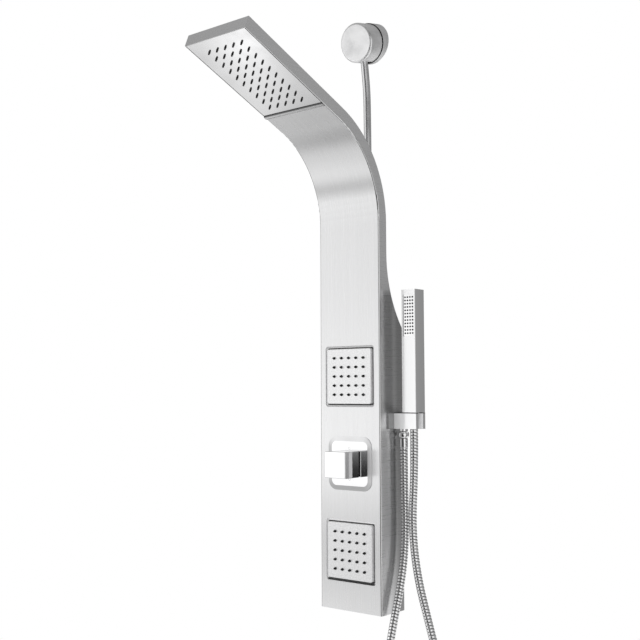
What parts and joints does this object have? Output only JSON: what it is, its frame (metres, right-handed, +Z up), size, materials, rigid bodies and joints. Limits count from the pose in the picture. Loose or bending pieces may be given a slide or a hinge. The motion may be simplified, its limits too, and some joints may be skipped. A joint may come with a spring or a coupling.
{
  "type": "rainfall shower column",
  "caption": "Wall shower panel that curls over into a rain head, with swivelling square body jets, a square diverter knob, and a stick handset on a metal hose.",
  "frame": {"origin": "on the wall, at the centre of the upper wall bracket's two screw holes", "axes": "+X to the right seen from the front, +Y into the wall, +Z up; the rain head reaches out towards -Y"},
  "size_m": [0.3308, 0.4558, 1.5306],
  "materials": {
    "brushed_face": "brushed along the panel, fine vertical grain",
    "polished_metal": "polished",
    "hose_metal": "ribbed double-interlock hose, polished",
    "satin_metal": "satin",
    "nozzle_rubber": "matte black silicone",
    "inner_hose": "matte",
    "inner_plastic": "matte",
    "inner_brass": "machined",
    "bracket_steel": "plain"
  },
  "bodies": {
    "column": {"arm_rear_cover": "brushed_face", "diverter_cartridge": "inner_plastic", "diverter_escutcheon": "polished_metal", "diverter_locknut": "inner_brass", "diverter_manifold": "inner_brass", "front_shell": "brushed_face", "handset_holder": "polished_metal", "hanging_ears_lower": "bracket_steel", "hanging_ears_upper": "bracket_steel", "holder_flange": "polished_metal", "hose_ferrule": "polished_metal", "hose_swivel_nut": "polished_metal", "jet_ball_stud_lower": "inner_brass", "jet_ball_stud_upper": "inner_brass", "jet_hose_lower": "inner_hose", "jet_hose_upper": "inner_hose", "jet_locknut_lower": "inner_brass", "jet_locknut_upper": "inner_brass", "jet_tray_lower": "satin_metal", "jet_tray_upper": "satin_metal", "outlet_elbow": "polished_metal", "outlet_hose": "inner_hose", "outlet_locknut": "inner_brass", "rain_chamber": "inner_plastic", "rain_hose": "inner_hose", "rain_inlet": "inner_plastic", "rain_nozzle_mat": "nozzle_rubber", "rain_plate": "brushed_face", "rain_trim": "polished_metal", "shower_hose": "hose_metal", "supply_elbow": "inner_brass", "supply_nuts": "inner_brass", "supply_tube": "polished_metal", "union_nuts": "inner_brass", "wall_bracket_lower": "bracket_steel", "wall_bracket_upper": "bracket_steel", "wall_drum": "satin_metal", "wall_flange": "satin_metal"},
    "knob": {"diverter_knob": "polished_metal", "knob_skirt": "polished_metal", "diverter_stem": "inner_brass", "knob_grub_screw": "bracket_steel"},
    "liner_upper": {"jet_liner_upper": "inner_plastic"},
    "jet_upper": {"jet_plate_upper": "satin_metal", "jet_nozzle_mat_upper": "nozzle_rubber", "jet_housing_upper": "inner_plastic"},
    "liner_lower": {"jet_liner_lower": "inner_plastic"},
    "jet_lower": {"jet_plate_lower": "satin_metal", "jet_nozzle_mat_lower": "nozzle_rubber", "jet_housing_lower": "inner_plastic"},
    "handset": {"handset_body": "polished_metal", "handset_spray_plate": "polished_metal", "handset_nozzle_mat": "nozzle_rubber", "handset_nipple": "polished_metal", "hose_washer": "nozzle_rubber", "hose_cone_nut": "polished_metal"}
  },
  "joints": [
    {"name": "diverter_turn", "type": "hinge", "parent": "column", "child": "knob", "pos_m": [0, -0.1, -0.242], "axis": [0, 1, 0], "continuous": true},
    {"name": "jet_pan_upper", "type": "hinge", "parent": "column", "child": "liner_upper", "pos_m": [0, -0.062, -0.072], "axis": [0, 0, 1], "range_deg": [-6, 6]},
    {"name": "jet_tilt_upper", "type": "hinge", "parent": "liner_upper", "child": "jet_upper", "pos_m": [0, -0.062, -0.072], "axis": [1, 0, 0], "range_deg": [-6, 6]},
    {"name": "jet_pan_lower", "type": "hinge", "parent": "column", "child": "liner_lower", "pos_m": [0, -0.062, -0.411], "axis": [0, 0, 1], "range_deg": [-6, 6]},
    {"name": "jet_tilt_lower", "type": "hinge", "parent": "liner_lower", "child": "jet_lower", "pos_m": [0, -0.062, -0.411], "axis": [1, 0, 0], "range_deg": [-6, 6]},
    {"name": "handset_lift", "type": "slide", "parent": "column", "child": "handset", "axis": [0, 0, 1], "range_m": [0, 0.045]}
  ]
}
